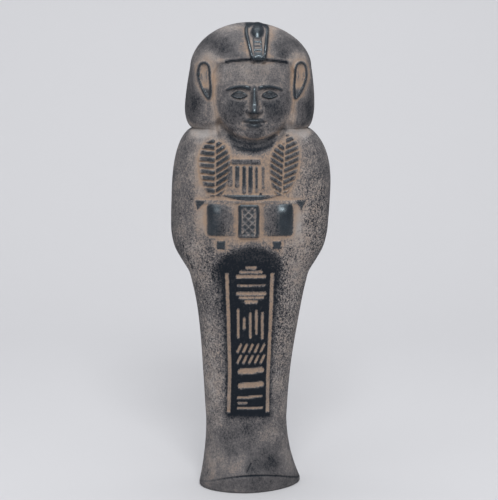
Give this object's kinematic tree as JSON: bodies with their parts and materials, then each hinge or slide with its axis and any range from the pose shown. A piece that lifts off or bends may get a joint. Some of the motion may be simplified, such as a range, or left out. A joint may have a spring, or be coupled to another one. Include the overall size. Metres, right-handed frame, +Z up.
{
  "type": "ushabti figurine",
  "caption": "Standing mummiform figurine in dark coated stone, with headcloth, uraeus, leaf carving on the breast and a sunk panel down the legs.",
  "frame": {"origin": "on the ground, in the middle of the flat underside", "axes": "+Z up along the figure, -Y the way the face looks, +X to the viewer's right when facing it"},
  "size_m": [0.0747, 0.0504, 0.2201],
  "materials": {
    "coated_stone": "pale tan stone under a dark bluish black coat, half worn away, polished on the raised carving"
  },
  "bodies": {
    "root": {"ushabti_figurine": "coated_stone"}
  },
  "joints": []
}
